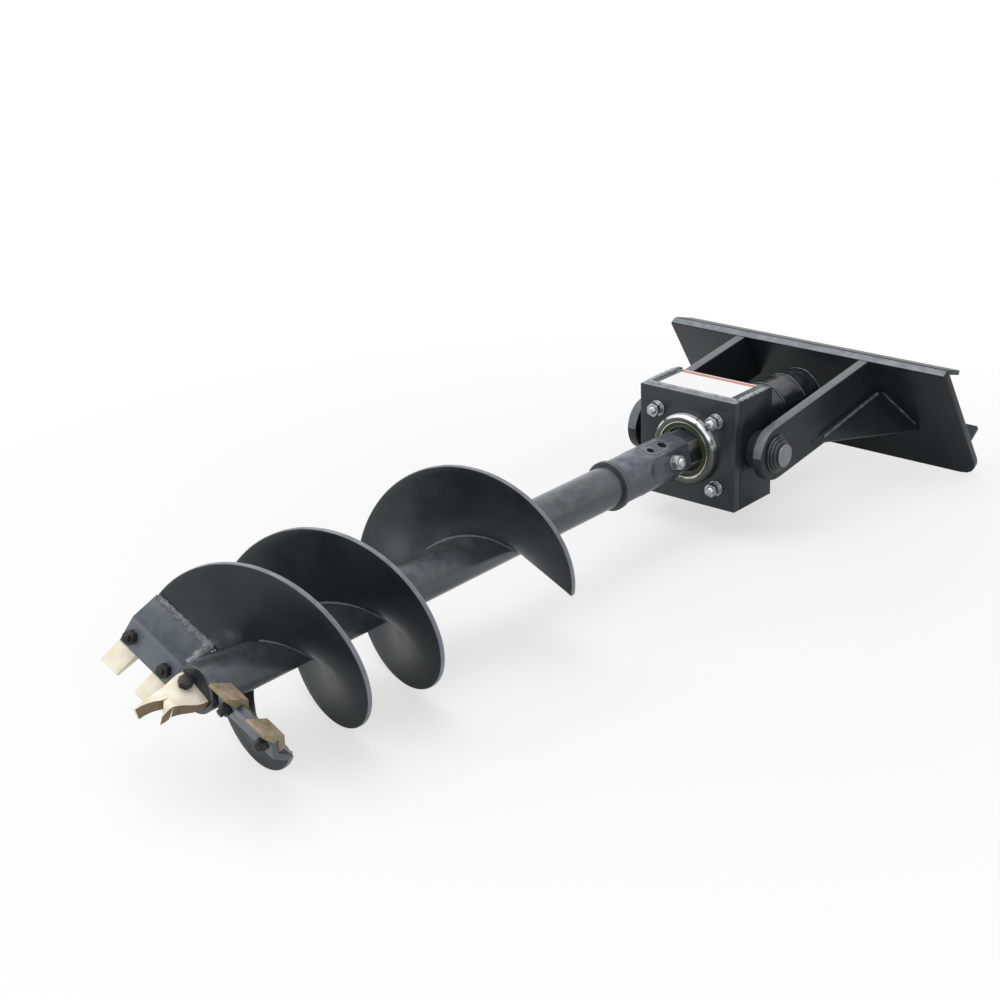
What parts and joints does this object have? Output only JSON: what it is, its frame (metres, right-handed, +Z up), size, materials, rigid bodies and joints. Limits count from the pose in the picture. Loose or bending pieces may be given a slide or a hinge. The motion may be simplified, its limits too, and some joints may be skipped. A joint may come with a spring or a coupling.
{
  "type": "earth auger drive",
  "caption": "Hydraulic earth auger drive on a skid-steer hitch plate: drive box swinging between two arms, with a flighted auger, bolt-on teeth and a fishtail pilot.",
  "frame": {"origin": "middle of the part's footprint, on the ground plane that the flights and the hitch plate's lower edge rest on", "axes": "+Y from the auger's tip towards the hitch plate, +X to the right seen from the tip, +Z up; the auger's axis is level, 152 mm above the ground"},
  "size_m": [0.606, 1.812, 0.304],
  "materials": {
    "black_paint": "charcoal black semi-gloss paint with dust and rubbed edges",
    "bright_zinc": "bright zinc plating",
    "yellow_zinc": "pale yellow plating",
    "olive_zinc": "olive plating",
    "bare_steel": "bare machined steel",
    "ground_steel": "ground steel",
    "black_oxide": "black oxide",
    "seal_rubber": "nitrile rubber",
    "bronze": "bearing bronze",
    "black_film": "thin black stretch film"
  },
  "bodies": {
    "hitch_frame": {"hitch_arm_left": "black_paint", "hitch_arm_right": "black_paint", "hitch_gusset_left": "black_paint", "hitch_gusset_right": "black_paint", "hitch_hook_lip": "black_paint", "hitch_lower_ledge": "black_paint", "hitch_plate": "black_paint", "pivot_bush_left": "bronze", "pivot_bush_right": "bronze"},
    "drive": {"bearing_housing": "ground_steel", "box_bottom_plate": "black_paint", "box_front_plate": "black_paint", "box_rear_plate": "black_paint", "box_side_plate_left": "black_paint", "box_side_plate_right": "black_paint", "box_top_plate": "black_paint", "friction_collar_left": "bare_steel", "friction_collar_right": "bare_steel", "front_bearing_cup": "ground_steel", "housing_stud_bottom_left": "bright_zinc", "housing_stud_bottom_right": "bright_zinc", "housing_stud_top_left": "bright_zinc", "housing_stud_top_right": "bright_zinc", "motor_end_cover": "black_paint", "motor_film_wrap": "black_film", "motor_front_housing": "black_paint", "motor_gear_ring": "ground_steel", "rear_bearing_cup": "ground_steel", "seal_carrier": "olive_zinc", "shaft_seal": "seal_rubber", "trunnion_left": "ground_steel", "trunnion_right": "ground_steel"},
    "auger": {"auger_hub": "black_paint", "drive_coupling": "bare_steel", "flight_main": "black_paint", "flight_short": "black_paint", "front_bearing_cone": "ground_steel", "front_bearing_rollers": "ground_steel", "hub_bolt": "bright_zinc", "hub_bolt_nut": "bright_zinc", "output_shaft": "ground_steel", "pilot_bolt": "bright_zinc", "pilot_point": "yellow_zinc", "pilot_socket": "bare_steel", "rear_bearing_cone": "ground_steel", "rear_bearing_rollers": "ground_steel", "shaft_lock_nut": "black_oxide", "stem_collar": "black_paint", "stem_tube": "black_paint", "tooth_bolt_inner_left": "black_oxide", "tooth_bolt_inner_right": "black_oxide", "tooth_bolt_outer_left": "black_oxide", "tooth_bolt_outer_right": "black_oxide", "tooth_holder_left": "black_paint", "tooth_holder_right": "black_paint", "tooth_inner_left": "yellow_zinc", "tooth_inner_right": "yellow_zinc", "tooth_outer_left": "yellow_zinc", "tooth_outer_right": "yellow_zinc"}
  },
  "joints": [
    {"name": "drive_swing", "type": "hinge", "parent": "hitch_frame", "child": "drive", "pos_m": [0, 0.41114, 0.15193], "axis": [1, 0, 0], "range_deg": [-45, 135]},
    {"name": "auger_spin", "type": "hinge", "parent": "drive", "child": "auger", "pos_m": [0, 0.34514, 0.15193], "axis": [0, 1, 0], "continuous": true}
  ]
}
